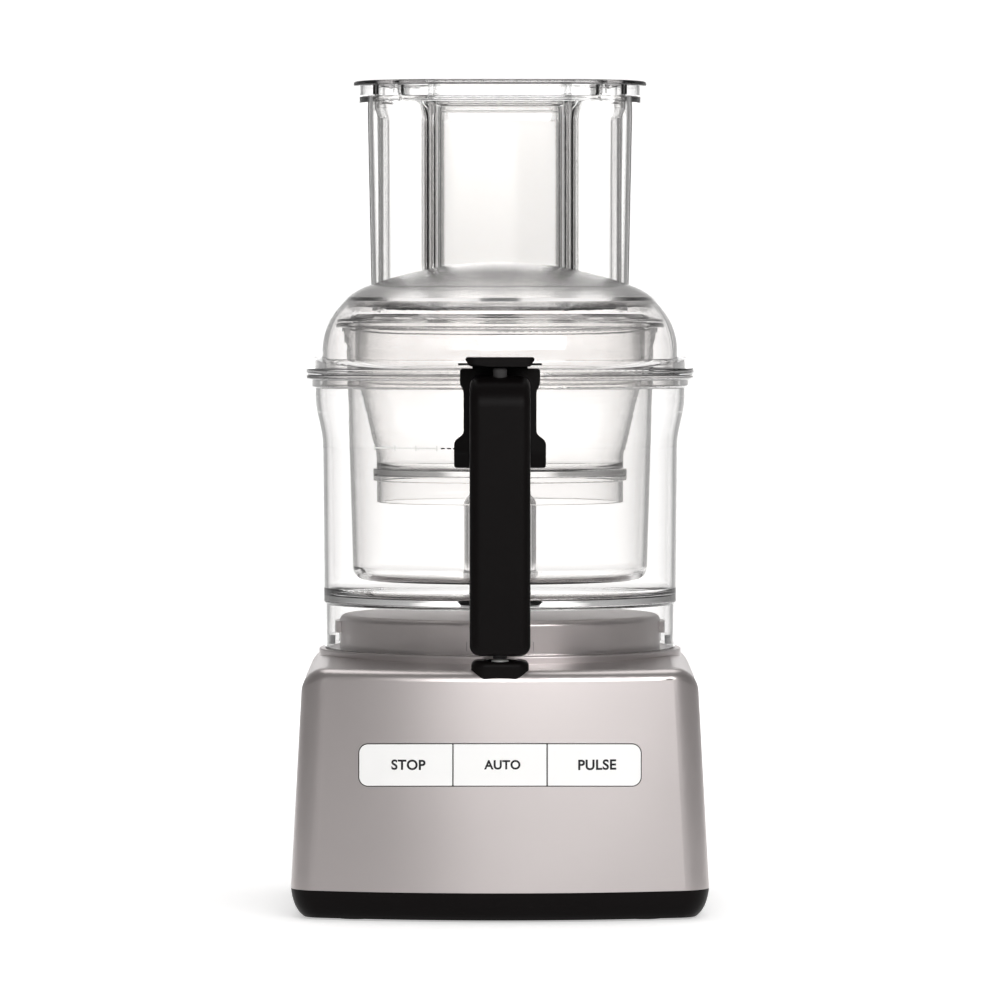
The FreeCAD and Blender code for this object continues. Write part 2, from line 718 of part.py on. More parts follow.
def blade_wings():
    """Two sickle blades on opposite sides of the hub, at different heights."""
    thickness = 1.2
    wings = []
    for z, side in WING_LEVELS:
        points = [
            (-11.0, 3.0, 0),
            (11.5, 3.0, 2),
            (12.5, 24.0, 16),
            (1.0, WING_TIP, 2.0),
            (-5.0, WING_TIP - 4, 3.0),
            (-8.0, 34.0, 40),
            (-11.0, 18.0, 12),
        ]
        plan = [(side * u, AXIS_Y + side * v, r) for u, v, r in points]
        wing = column(plan, z, z + thickness).cut(ring(HUB_R - 1.7, 0, z - 1, z + 3))
        wings.append(wing)
    return wings


def blade_hub():
    """Sleeve over the bowl's chimney, closed at the top, with a grip cap."""
    hub = lathe(
        [
            (12.7, 223.9, 0.5),
            (HUB_R, 223.9, 0.6),
            (HUB_R, 258.0, 3),
            (12.0, 264.0, 3),
            (12.0, 272.0, 2.5),
            (0, 272.0, 0),
            (0, SHAFT_TOP_Z + 0.6, 0),
            (SHAFT_R + 0.15, SHAFT_TOP_Z + 0.6, 0),
            (SHAFT_R + 0.15, 257.2, 0.4),
            (12.7, 257.2, 0.5),
        ]
    )
    for wing in blade_wings():
        hub = hub.cut(wing)
    for x, y in around(10, 12.6, 18):
        hub = hub.cut(rod(1.3, 265.5, 273.0, x, y))
    return hub


# ---- handle ----------------------------------------------------------------------------------------------
def handle_body():
    """Hanging grip joined to the bracket at its top, as one solid before it is split in two shells."""
    reach = -80.0
    arm_low = 238.0
    side = [
        (HANDLE_FRONT, HANDLE_BOTTOM_Z, 4.0),
        (HANDLE_FRONT, HANDLE_TOP_Z, 15.0),
        (reach, HANDLE_TOP_Z, 0),
        (reach, arm_low, 0),
        (HANDLE_BACK, arm_low, 15.0),
        (HANDLE_BACK, HANDLE_BOTTOM_Z, 4.0),
    ]
    face = Part.Face(loop(side, lambda y, z: Vector(-HANDLE_HALF, y, z)))
    grip = face.extrude(Vector(2 * HANDLE_HALF, 0, 0))
    rims = []
    for edge in grip.Edges:
        bounds = edge.BoundBox
        on_side = bounds.XLength < 0.01
        at_reach = abs(bounds.YMin - reach) < 0.01 and abs(bounds.YMax - reach) < 0.01
        if on_side and not at_reach:
            rims.append(edge)
    grip = grip.makeFillet(5.2, rims)
    return grip.cut(Part.makeCylinder(BRACKET_R, 200, Vector(0, AXIS_Y, 120), UP))


def handle_shells():
    """The grip as a front and a rear shell, with a channel for the rod between them."""
    split_y = -109.0
    body = handle_body()
    channel = column(rounded_rectangle((-8, 8), (-120.5, -103.5), 3.0), 141.0, 262.0)
    body = body.cut(channel).cut(rod(ROD_R + 0.3, 120, 300, 0, ROD_Y))
    body = body.cut(rod(PLUNGER_R + 1.2, 120, 137.0, 0, ROD_Y))
    front = body.common(box((-30, 30), (-150, split_y), (100, 300)))
    rear = body.common(box((-30, 30), (split_y, 0), (100, 300)))
    for screw in handle_screws():
        front = front.cut(screw)
        rear = rear.cut(screw)
    return front, rear


def handle_screws():
    """Two screws that hold the shells together, driven from the finger side."""
    screws = []
    for z in (138.0, 232.0):
        for x in (-11.0, 11.0):
            start = Vector(x, HANDLE_BACK - 0.8, z)
            head = Part.makeCylinder(2.2, 2.0, start, Vector(0, -1, 0))
            shank = Part.makeCylinder(1.1, 14.0, start, Vector(0, -1, 0))
            screws.append(head.fuse(shank).removeSplitter())
    return screws


def handle_bracket():
    """Black plate that hugs the bowl's front, wide at its lower end, which carries the grip."""
    half_front = [
        (23.2, 225.4, 1.5),
        (23.2, 239.0, 4.0),
        (18.4, 242.5, 4.0),
        (18.4, 264.0, 5.0),
        (20.2, 268.0, 2.0),
        (20.2, 275.6, 1.5),
    ]
    points = half_front + [(-x, z, r) for x, z, r in reversed(half_front)]
    face = Part.Face(loop(points, lambda x, z: Vector(x, AXIS_Y - 110, z)))
    silhouette = face.extrude(Vector(0, 60, 0))
    sleeve = lathe(
        [
            (92.9, 224.0, 0),
            (98.5, 224.0, 0),
            (BRACKET_R, 233.0, 3.0),
            (BRACKET_R, 277.0, 0),
            (RIM_R + 0.5, 277.0, 0),
            (RIM_R + 0.5, 264.4, 0),
            (BOWL_R + 5.0, 263.8, 0),
            (BOWL_R + 5.0, 256.5, 0),
            (93.3, 238.0, 0),
        ]
    )
    return silhouette.common(sleeve)


def safety_rod():
    low, top = 131.1, 276.2
    stem = rod(ROD_R, low, top, 0, ROD_Y)
    rim = [edge for edge in stem.Edges if abs(edge.BoundBox.ZMin - top) < 0.01]
    collar = rod(6.2, 200.0, 203.0, 0, ROD_Y)
    return stem.makeFillet(1.2, rim).fuse(collar).removeSplitter()


def rod_spring():
    """Return spring round the rod, one ring per turn."""
    low, high, turns = 142.0, 199.0, 10
    rings = []
    for index in range(turns):
        z = low + (high - low) * index / (turns - 1)
        rings.append(Part.makeTorus(5.0, 0.6, Vector(0, ROD_Y, z), UP))
    return rings


# ---- lid -------------------------------------------------------------------------------------------------
def dome_edges(inset):
    """Crown and shoulder arcs of the lid, from the axis outwards, and the shoulder's lower end."""
    crown, shoulder = CROWN_R - inset, SHOULDER_R - inset
    centre_z = CROWN_Z - CROWN_R
    across = LID_R - SHOULDER_R
    along = math.sqrt((CROWN_R - SHOULDER_R) ** 2 - across**2)
    lean = math.atan2(along, across)
    shoulder_z = centre_z + along

    def on(cx, cz, radius, angle):
        return Vector(cx + radius * math.cos(angle), AXIS_Y, cz + radius * math.sin(angle))

    top = on(0, centre_z, crown, math.pi / 2)
    half_way = on(0, centre_z, crown, (math.pi / 2 + lean) / 2)
    join = on(0, centre_z, crown, lean)
    bend = on(across, shoulder_z, shoulder, lean / 2)
    foot = on(across, shoulder_z, shoulder, 0)
    return [Part.Arc(top, half_way, join).toShape(), Part.Arc(join, bend, foot).toShape()], foot


def dome_solid(edges, foot, points):
    """Revolves the dome's arcs closed by a rounded polyline from the shoulder's foot back to the axis."""
    top = edges[0].valueAt(edges[0].FirstParameter)
    start = [(foot.x, foot.z, 0), *points]
    lower = chain(start, lambda r, z: Vector(r, AXIS_Y, z))
    last = points[-1]
    close = Part.makeLine(Vector(last[0], AXIS_Y, last[1]), top)
    face = Part.Face(Part.Wire([*edges, *lower, close]))
    return face.revolve(AXIS, UP, 360)


def lid_ramps():
    """Locking ramps on the flange: highest at the left and right, running out towards the front and back."""
    high_z, low_z, run = 281.0, 274.6, 74.0
    band = ring(96.6, LID_R - 0.4, LID_FLANGE_Z - 1, high_z)
    length = math.hypot(run, high_z - low_z)
    angle = math.degrees(math.atan2(high_z - low_z, run))
    for way in (-1, 1):
        above = Part.makeBox(240, length * 2, 40, Vector(-120, 0, 0))
        above.rotate(Vector(0, 0, 0), Vector(1, 0, 0), -angle)
        above.translate(Vector(0, 0, high_z))
        if way < 0:
            above = above.mirror(Vector(0, 0, 0), Vector(0, 1, 0))
        above.translate(Vector(0, AXIS_Y, 0))
        band = band.cut(above)
    return band


def lid_dome():
    outer_edges, outer_foot = dome_edges(0)
    skirt_low, flange_low = 265.0, LID_FLANGE_Z - 2.7
    outside = dome_solid(
        outer_edges,
        outer_foot,
        [
            (LID_R, LID_FLANGE_Z, 5.0),
            (101.0, LID_FLANGE_Z, 1.1),
            (101.0, flange_low, 1.1),
            (LID_R, flange_low, 0.5),
            (LID_R, skirt_low, 0.6),
            (0, skirt_low, 0),
        ],
    )
    inner_edges, inner_foot = dome_edges(LID_WALL)
    inside = dome_solid(inner_edges, inner_foot, [(inner_foot.x, skirt_low - 1, 0), (0, skirt_low - 1, 0)])
    boss = ring(8.6, 0, 319.0, 329.0)
    rib = ring(79.2, 77.2, 305.8, 316.0)
    filled = outside.common(ring(90.0, 0, 300, 340))
    shell = outside.cut(inside).fuse([boss.common(filled), rib.common(filled), lid_ramps()])
    shell = shell.cut(bush_bore()).cut(tube_outside())
    return shell.removeSplitter()


BUSH_R = 6.2


def bush_bore():
    return ring(BUSH_R + 0.1, 0, 318.0, 326.2)


def lid_bush():
    """Bush in the middle of the lid that steadies the top of a disc's spindle."""
    return lathe([(3.2, 319.4, 0.4), (BUSH_R, 319.4, 0.4), (BUSH_R, 325.8, 0.4), (3.2, 325.8, 0.4)])


TIP_Y = 22.0
TUBE = dict(half=67.0, back_r=80.0, horn_x=33.4, scoop_y=50.0)
NECK = dict(half=69.0, back_r=81.6, horn_x=33.4, scoop_y=50.0)
MOUTH_FLARE, MOUTH_STEPS, PUSHER_SPREAD = 20.0, 4, 12.6


def kidney(z, inset, half, back_r, horn_x, scoop_y):
    """Plan outline of the feed tube: a wide arc at the back and two horns either side of a scoop at the front."""
    tip_y = TIP_Y + inset
    side, horn, scoop = half - inset, horn_x + inset, scoop_y + inset
    back_edges, side_y = bowed_end(back_r - inset, AXIS_Y, side, 22.0 - inset, 1, z)
    outer_tip, tip = max(14.0 - inset, 1.0), max(9.0 - inset, 1.0)
    tip = min(tip, (scoop - tip_y) / 3)
    notch = min(9.0 + inset, (scoop - tip_y) / 2)
    half_chain = [(side, side_y, 0), (side, tip_y, outer_tip), (horn, tip_y, tip), (horn, scoop, notch)]
    points = half_chain + [(-x, y, r) for x, y, r in reversed(half_chain)]
    front_edges = chain(points, lambda x, y: Vector(x, y, z))
    return Part.Wire(Part.__sortEdges__([*back_edges, *front_edges]))


def mouth_sections(inset, lift, spread=0.0):
    """Outlines up the mouth, where the scoop's wall turns forwards along a quarter round, as a funnel does.
    spread is how far the scoop's side walls turn outwards with it."""
    sections = []
    for step in range(MOUTH_STEPS + 1):
        turn = math.pi / 2 * step / MOUTH_STEPS
        share = 1 - math.cos(turn)
        shape = dict(NECK, scoop_y=NECK["scoop_y"] - MOUTH_FLARE * share)
        shape["horn_x"] = NECK["horn_x"] + spread * share
        z = TUBE_NECK_Z + lift + (TUBE_TOP_Z - 1.6 - TUBE_NECK_Z) * math.sin(turn)
        sections.append(kidney(z, inset, **shape))
    return sections


def stacked(sections):
    """Straight-sided lofts one on top of another, fused."""
    parts = [Part.makeLoft([low, high], True, True) for low, high in zip(sections, sections[1:])]
    whole = parts[0]
    for part in parts[1:]:
        whole = whole.fuse(part)
    return whole


def tube_sections(inset, spare=0.0):
    """Outlines up the tube. spare makes both ends longer, for a shape that is cut out."""
    mouth = mouth_sections(inset, 0.0)
    top = mouth[-1].translated(Vector(0, 0, 1.6 + spare))
    return [kidney(TUBE_BOTTOM_Z - spare, inset, **TUBE), *mouth, top]


def tube_outside():
    return stacked(tube_sections(0))


def oval_plate(low, high, half, front, back, corner):
    return column(rounded_rectangle((-half, half), (front, back), corner), low, high)


def feed_tube():
    """Clear kidney tube that flares to an almost oval mouth with a turned-out lip."""
    lip = oval_plate(TUBE_TOP_Z - 3.2, TUBE_TOP_Z, 73.9, 17.4, 105.0, 40.0)
    tube = tube_outside().fuse(lip)
    return tube.cut(stacked(tube_sections(TUBE_WALL, 1.0)))


CATCH_LOW, CATCH_HIGH = 276.8, 281.4


def lid_catch():
    """Black cam on the lid's front edge that reaches over the grip and holds the safety rod down."""
    front = [(-15.0, CATCH_LOW, 0.8), (15.0, CATCH_LOW, 0.8), (18.1, CATCH_HIGH, 1.0), (-18.1, CATCH_HIGH, 1.0)]
    face = Part.Face(loop(front, lambda x, z: Vector(x, -119.0, z)))
    cam = face.extrude(Vector(0, 50, 0))
    cam = cam.common(column(rounded_rectangle((-19, 19), (-119.0, 0), 7.0), 270, 290))
    relief_ends = [(-4.0, 276.7), (-24.0, 276.7), (-24.0, 279.2), (-4.0, 276.7)]
    relief = Part.makePolygon([Vector(x, -130, z) for x, z in relief_ends])
    relief = Part.Face(relief).extrude(Vector(0, 26, 0))
    fin = box((-21, 21), (-102.0, -74.0), (277.4, 278.3))
    foot = ring(100.4, 96.8, LID_FLANGE_Z, CATCH_LOW + 1)
    foot = foot.common(box((-14, 14), (-90, -70), (270, 290)))
    cam = cam.cut(relief).fuse([fin, foot])
    return cam.cut(ring(96.7, 0, 270, 283)).removeSplitter()


# ---- pushers ---------------------------------------------------------------------------------------------
def pusher_sections(inset, bottom, top):
    """Outlines up the large pusher, which follows the tube's inside."""
    inset = inset + TUBE_WALL + PUSHER_GAP
    mouth = mouth_sections(inset, 1.5, PUSHER_SPREAD)
    mouth_z = mouth[-1].BoundBox.ZMax
    low = kidney(bottom, inset, **TUBE)
    neck = kidney(TUBE_NECK_Z, inset, **TUBE)
    return [low, neck, *mouth[1:], mouth[-1].translated(Vector(0, 0, top - mouth_z))]


LIP_DEPTH = 1.2


def large_pusher():
    """Clear kidney cup with a wide flange, and a through well in its middle for the small pusher."""
    wall, floor_t = 2.2, 3.0
    flange_low = PUSHER_FLANGE_Z - 2.6
    body = stacked(pusher_sections(0.0, PUSHER_BOTTOM_Z, flange_low + 1.0))
    flange = oval_plate(flange_low, PUSHER_FLANGE_Z, 77.0, 14.0, 108.0, 42.0)
    flange = flange.makeFillet(1.0, [edge for edge in flange.Edges if edge.BoundBox.ZLength < 0.01])
    guard = oval_plate(TUBE_TOP_Z + 0.7, flange_low + 0.5, 73.6, 17.7, 104.7, 40.0)
    guard = guard.cut(oval_plate(TUBE_TOP_Z, flange_low + 1, 72.0, 19.3, 103.1, 38.6))
    hollow = stacked(pusher_sections(wall, PUSHER_BOTTOM_Z + floor_t, PUSHER_FLANGE_Z + 1))
    cup = body.fuse([flange, guard]).cut(hollow)
    well = (WELL_HALF_X, WELL_FRONT, WELL_BACK)
    casing = well_column(well, 1.9, PUSHER_BOTTOM_Z, flange_low + 1)
    bore = well_column(well, 0.0, PUSHER_BOTTOM_Z - 1, PUSHER_FLANGE_Z + 1)
    bridge = well_column(well, 6.0, flange_low, PUSHER_FLANGE_Z)
    recess = well_column(well, 3.8, PUSHER_FLANGE_Z - LIP_DEPTH - 0.4, PUSHER_FLANGE_Z + 1)
    return cup.fuse([casing, bridge]).cut(bore).cut(recess)


def well_column(well, grow, low, high):
    half, front, back = well
    plan = rounded_rectangle((-half - grow, half + grow), (front - grow, back + grow), WELL_CORNER + grow)
    return column(plan, low, high)


def small_pusher():
    """Measuring cup that fills the large pusher's well and hangs from a thin lip, flush with the flange."""
    gap, wall = 0.7, 1.8
    well = (WELL_HALF_X, WELL_FRONT, WELL_BACK)
    lip_low, lip_high = PUSHER_FLANGE_Z - LIP_DEPTH, PUSHER_FLANGE_Z
    cup = well_column(well, -gap, PUSHER_BOTTOM_Z + 0.5, lip_low)
    lip = well_column(well, 3.4, lip_low, lip_high)
    lip = lip.makeFillet(0.5, [edge for edge in lip.Edges if edge.BoundBox.ZMin > lip_high - 0.01])
    hollow = well_column(well, -gap - wall, PUSHER_BOTTOM_Z + 3.0, lip_high + 1)
    return cup.fuse(lip).cut(hollow).removeSplitter()


# ---- writing the parts -----------------------------------------------------------------------------------
def solids_of(made):
    shapes = made if isinstance(made, (list, tuple)) else [made]
    return [solid for shape in shapes for solid in shape.Solids]


def write(name, made):
    solids = solids_of(made)
    shape = solids[0] if len(solids) == 1 else Part.makeCompound(solids)
    good = all(solid.isValid() and solid.isClosed() and solid.Volume > 0 for solid in solids)
    print(f"{name}: {len(solids)} solid(s), {shape.Volume / 1000:.2f} cm3{'' if good else '  NOT A GOOD SOLID'}")
    shape.exportStep(os.path.join("parts", name + ".step"))


def main():
    os.makedirs("parts", exist_ok=True)
    front_shell, rear_shell = handle_shells()
    made = {
        "motor_casing": motor_casing(),
        "base_plinth": base_plinth(),
        "rubber_feet": rubber_feet(),
        "base_screws": base_screws(),
        "rating_plate": rating_plate(),
        "cord_gland": cord_gland(),
        "button_frame": button_frame(),
        "switch_board": switch_board(),
        "tact_switches": tact_switches(),
        "interlock_socket": interlock_socket(),
        "interlock_plunger": interlock_plunger(),
        "interlock_switch": interlock_switch(),
        "stator_core": stator_core(),
        "stator_windings": stator_windings(),
        "lower_end_shield": lower_end_shield(),
        "upper_end_shield": upper_end_shield(),
        "lower_bearing": bearing(LOWER_BEARING),
        "upper_bearing": bearing(UPPER_BEARING),
        "motor_bolts": motor_bolts(),
        "motor_grommets": motor_grommets(),
        "rotor_core": rotor_core(),
        "motor_shaft": motor_shaft(),
        "cooling_fan": cooling_fan(),
        "run_capacitor": run_capacitor(),
        "shaft_seal": shaft_seal(),
        "main_bowl": main_bowl(),
        "midi_bowl": midi_bowl(),
        "mini_bowl": mini_bowl(),
        "blade_hub": blade_hub(),
        "blade_wings": blade_wings(),
        "handle_front": front_shell,
        "handle_rear": rear_shell,
        "handle_screws": handle_screws(),
        "handle_bracket": handle_bracket(),
        "safety_rod": safety_rod(),
        "rod_spring": rod_spring(),
        "lid_dome": lid_dome(),
        "lid_bush": lid_bush(),
        "lid_catch": lid_catch(),
        "feed_tube": feed_tube(),
        "large_pusher": large_pusher(),
        "small_pusher": small_pusher(),
    }
    for index, name in enumerate(BUTTONS):
        made[name] = push_button(index)
    for name, shape in made.items():
        write(name, shape)


main()
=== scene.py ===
import json
import math

import bpy
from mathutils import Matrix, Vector


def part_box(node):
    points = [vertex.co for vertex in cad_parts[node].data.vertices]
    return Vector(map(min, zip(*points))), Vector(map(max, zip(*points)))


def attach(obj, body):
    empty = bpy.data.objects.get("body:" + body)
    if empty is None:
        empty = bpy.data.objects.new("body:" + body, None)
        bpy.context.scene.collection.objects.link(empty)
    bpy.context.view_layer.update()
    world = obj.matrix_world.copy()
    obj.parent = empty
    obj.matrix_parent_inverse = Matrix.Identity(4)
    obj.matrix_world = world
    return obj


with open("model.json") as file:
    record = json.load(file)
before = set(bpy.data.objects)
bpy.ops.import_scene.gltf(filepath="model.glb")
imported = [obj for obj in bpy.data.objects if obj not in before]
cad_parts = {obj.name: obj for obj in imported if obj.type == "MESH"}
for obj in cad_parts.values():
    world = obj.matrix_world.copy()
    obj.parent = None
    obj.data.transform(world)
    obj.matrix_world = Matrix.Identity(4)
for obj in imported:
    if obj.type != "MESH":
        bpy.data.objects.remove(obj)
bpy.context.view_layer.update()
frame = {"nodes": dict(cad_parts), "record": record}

# Food processor. Metres, +Z up, the front faces -Y. Places come from the boxes of the nodes they sit on.
MM = 0.001
UPRIGHT = (math.pi / 2, 0, 0)
FROST_ROUGHNESS = 0.22
PRINT_STANDOFF = 5 * MM
INK_GAP = 0.06 * MM
INK_THICKNESS = 0.05 * MM


# ---- finishes ------------------------------------------------------------------------------------
class Signal:
    """A node's output that takes part in arithmetic: an expression on signals adds its Math nodes."""

    def __init__(self, finish, socket):
        self.finish = finish
        self.socket = socket

    def math(self, operation, first, second=0.0):
        return self.finish.node("ShaderNodeMath", {"operation": operation}, {0: first, 1: second})

    def __add__(self, other):
        return self.math("ADD", self, other)

    def __mul__(self, other):
        return self.math("MULTIPLY", self, other)

    def __truediv__(self, other):
        return self.math("DIVIDE", self, other)

    __radd__ = __add__
    __rmul__ = __mul__


class Finish:
    """A material with one Principled shader, whose patterns are added node by node."""

    def __init__(self, name, constants):
        self.material = bpy.data.materials.new(name)
        self.material.use_nodes = True
        self.tree = self.material.node_tree
        self.shader = self.tree.nodes["Principled BSDF"]
        for socket, value in constants.items():
            self.shader.inputs[socket].default_value = value
        self.point = self.node("ShaderNodeTexCoord", {}, {}, "Object")

    def node(self, kind, settings, values, output=0):
        """Adds a node, makes its settings, then sets or links its sockets. Returns the output asked for."""
        node = self.tree.nodes.new(kind)
        for name, value in settings.items():
            if name == "stops":
                self.set_stops(node.color_ramp, value)
            else:
                setattr(node, name, value)
        for name, value in values.items():
            if isinstance(value, Signal):
                self.tree.links.new(value.socket, node.inputs[name])
            else:
                node.inputs[name].default_value = value
        return Signal(self, node.outputs[output])

    def set_stops(self, ramp, stops):
        while len(ramp.elements) < len(stops):
            ramp.elements.new(0.5)
        for element, (position, shade) in zip(ramp.elements, stops):
            element.position = position
            element.color = (shade, shade, shade, 1)

    def noise(self, scale, detail=2.0, stretch=(1, 1, 1)):
        """Cloudy pattern from 0 to 1. scale is in patches per metre."""
        point = self.node("ShaderNodeMapping", {}, {"Vector": self.point, "Scale": stretch})
        return self.node("ShaderNodeTexNoise", {}, {"Vector": point, "Scale": scale, "Detail": detail})

    def spots(self, scale):
        """Distance to scattered points, for pebbled plastic."""
        return self.node("ShaderNodeTexVoronoi", {}, {"Vector": self.point, "Scale": scale})

    def ramp(self, signal, stops):
        return self.node("ShaderNodeValToRGB", {"stops": stops}, {"Fac": signal})

    def along(self, axis):
        """Place on the X, Y or Z axis, in metres."""
        return self.node("ShaderNodeSeparateXYZ", {}, {0: self.point}, axis)

    def fade(self, signal, start, end, low=0.0, smooth=False):
        """Goes from low where the signal is start to 1 where it is end."""
        settings = {"interpolation_type": "SMOOTHSTEP"} if smooth else {}
        values = {"Value": signal, "From Min": start, "From Max": end, "To Min": low}
        return self.node("ShaderNodeMapRange", settings, values)

    def tint(self, factor, first, second):
        """Mixes two colours."""
        values = {0: factor, 6: (*first, 1), 7: (*second, 1)}
        return self.node("ShaderNodeMix", {"data_type": "RGBA"}, values, 2)

    def feed(self, socket, signal):
        self.tree.links.new(signal.socket, self.shader.inputs[socket])

    def relief(self, height, strength, depth):
        """Raises and lowers the surface by a pattern, depth metres at most."""
        values = {"Height": height, "Strength": strength, "Distance": depth}
        self.feed("Normal", self.node("ShaderNodeBump", {}, values))


def satin_metal():
    """Warm grey satin lacquer over metal, with a very fine grain."""
    finish = Finish("satin_metal", {"Metallic": 0.9})
    clouds = finish.noise(14.0, 3.0)
    grain = finish.noise(2600.0, 2.0)
    finish.feed("Base Color", finish.tint(clouds, (0.56, 0.515, 0.51), (0.585, 0.54, 0.532)))
    finish.feed("Roughness", 0.29 + clouds * 0.04 + grain * 0.03)
    finish.relief(grain, 0.12, 0.02 * MM)
    return finish.material


def black_plastic(name, shade, roughness, grain_size):
    """Black moulded plastic with a fine spark-eroded texture."""
    finish = Finish(name, {"Specular IOR Level": 0.06})
    clouds = finish.noise(30.0, 2.0)
    pebbles = finish.spots(1 / grain_size)
    dark = tuple(channel * 0.8 for channel in shade)
    finish.feed("Base Color", finish.tint(clouds, dark, shade))
    finish.feed("Roughness", roughness + clouds * 0.06)
    finish.relief(pebbles, 0.15, 0.03 * MM)
    return finish.material


def clear_plastic(name, tone, roughness, frost=None):
    """Clear polished copolymer, with the faint flow marks of moulding.

    frost is a pair of heights between which the surface goes from polished to frosted.
    """
    finish = Finish(name, {"Transmission Weight": 1.0, "IOR": 1.5})
    flow = finish.noise(18.0, 1.0, (1, 1, 0.3))
    paler = tuple(min(1.0, channel * 1.01) for channel in tone)
    finish.feed("Base Color", finish.tint(flow, tone, paler))
    matt = roughness + flow * 0.01
    if frost:
        matt = matt + finish.fade(finish.along("Z"), frost[0], frost[1], smooth=True) * FROST_ROUGHNESS
    finish.feed("Roughness", matt)
    return finish.material


def white_plastic(name, shade, roughness):
    finish = Finish(name, {"IOR": 1.5, "Coat Weight": 0.2, "Coat Roughness": 0.2})
    clouds = finish.noise(40.0, 2.0)
    grain = finish.noise(3500.0, 1.0)
    shaded = tuple(channel * 0.985 for channel in shade)
    finish.feed("Base Color", finish.tint(clouds, shaded, shade))
    finish.feed("Roughness", roughness + clouds * 0.04)
    finish.relief(grain, 0.06, 0.02 * MM)
    return finish.material


def bare_metal(name, shade, roughness, stretch):
    """Turned, ground or drawn metal: the tool's marks run across the stretched direction."""
    finish = Finish(name, {"Metallic": 1.0})
    marks = finish.noise(900.0, 3.0, stretch)
    dark = tuple(channel * 0.86 for channel in shade)
    finish.feed("Base Color", finish.tint(marks, dark, shade))
    finish.feed("Roughness", roughness + marks * 0.12)
    finish.relief(marks, 0.1, 0.02 * MM)
    return finish.material


def rubber():
    finish = Finish("rubber", {"Specular IOR Level": 0.3})
    dust = finish.noise(220.0, 4.0)
    finish.feed("Base Color", finish.tint(dust, (0.018, 0.018, 0.018), (0.045, 0.044, 0.043)))
    finish.feed("Roughness", 0.7 + dust * 0.15)
    finish.relief(dust, 0.2, 0.05 * MM)
    return finish.material


def laminations():
    """Stack of half-millimetre steel sheets under varnish."""
    finish = Finish("laminations", {"Metallic": 0.7})
    half_sheet = 0.25 * MM
    height = finish.along("Z")
    sheets = height.math("PINGPONG", height, half_sheet) / half_sheet
    finish.feed("Base Color", finish.tint(sheets, (0.07, 0.065, 0.07), (0.25, 0.24, 0.24)))
    finish.feed("Roughness", 0.35 + sheets * 0.2)
    finish.relief(sheets, 0.4, 0.05 * MM)
    return finish.material


def enamelled_wire():
    finish = Finish("enamelled_wire", {"Metallic": 0.8, "Coat Weight": 0.6})
    strands = finish.noise(60.0, 1.0, (1, 1, 14))
    finish.feed("Base Color", finish.tint(strands, (0.32, 0.09, 0.03), (0.7, 0.28, 0.1)))
    finish.feed("Roughness", 0.25 + strands * 0.2)
    finish.relief(strands, 0.5, 0.3 * MM)
    return finish.material


def circuit_board():
    finish = Finish("circuit_board", {"Coat Weight": 0.5, "Coat Roughness": 0.1})
    tracks = finish.ramp(finish.spots(260.0), [(0.0, 0.0), (0.32, 0.0), (0.36, 1.0)])
    finish.feed("Base Color", finish.tint(tracks, (0.05, 0.2, 0.07), (0.015, 0.09, 0.03)))
    finish.feed("Roughness", 0.3 + tracks * 0.1)
    finish.relief(tracks, 0.3, 0.05 * MM)
    return finish.material


def printed_ink(name, shade):
    finish = Finish(name, {"Specular IOR Level": 0.1})
    mottle = finish.noise(900.0, 2.0)
    lighter = tuple(channel * 1.15 + 0.004 for channel in shade)
    finish.feed("Base Color", finish.tint(mottle, shade, lighter))
    finish.feed("Roughness", 0.42 + mottle * 0.1)
    return finish.material


FINISHES = {
    "casing_metal": satin_metal(),
    "black_plastic": black_plastic("black_plastic", (0.0045, 0.0036, 0.0036), 0.34, 0.35 * MM),
    "rubber": rubber(),
    "steel": bare_metal("turned_steel", (0.58, 0.58, 0.59), 0.22, (1, 1, 8)),
    "zinc": bare_metal("plated_screws", (0.66, 0.66, 0.64), 0.25, (3, 3, 1)),
    "plate": bare_metal("plate_film", (0.55, 0.55, 0.55), 0.35, (1, 12, 1)),
    "button_plastic": white_plastic("button_plastic", (0.90, 0.895, 0.885), 0.32),
    "dark_plastic": black_plastic("dark_plastic", (0.05, 0.048, 0.048), 0.42, 0.5 * MM),
    "board": circuit_board(),
    "laminations": laminations(),
    "copper": enamelled_wire(),
    "alloy": bare_metal("die_cast_alloy", (0.5, 0.51, 0.52), 0.4, (1, 1, 1)),
    "white_plastic": white_plastic("white_plastic", (0.78, 0.78, 0.76), 0.4),
    "capacitor_can": bare_metal("drawn_can", (0.68, 0.69, 0.70), 0.28, (6, 6, 1)),
    "clear_bowl": clear_plastic("clear_bowl", (0.988, 0.984, 0.981), 0.008),
    "clear_lid": clear_plastic("clear_lid", (0.988, 0.984, 0.981), 0.008),
    "frosted_lid": clear_plastic("frosted_lid", (0.955, 0.945, 0.940), 0.008, (0.304, 0.314)),
    "clear_pusher": clear_plastic("clear_pusher", (0.992, 0.990, 0.988), 0.008),
    "cup_plastic": clear_plastic("cup_plastic", (0.985, 0.981, 0.978), 0.16),
    # The two rim finishes below are tinted darker than the clear plastics. This is painted shade: it draws
    # the dark lines that refraction makes along the thick rims of the pusher's flange and of the bowl.
    "shade_dark_rim": clear_plastic("shade_dark_rim", (0.40, 0.39, 0.39), 0.02),
    "grey_rim": clear_plastic("grey_rim", (0.78, 0.77, 0.765), 0.01),
    "blade_steel": bare_metal("ground_steel", (0.62, 0.62, 0.63), 0.18, (8, 1, 1)),
    "hub_plastic": white_plastic("hub_plastic", (0.42, 0.43, 0.44), 0.4),
    "spring_steel": bare_metal("spring_steel", (0.6, 0.6, 0.6), 0.2, (1, 1, 1)),
    "legend_ink": printed_ink("legend_ink", (0.02, 0.02, 0.022)),
    "mark_ink": printed_ink("mark_ink", (0.9, 0.9, 0.88)),
}


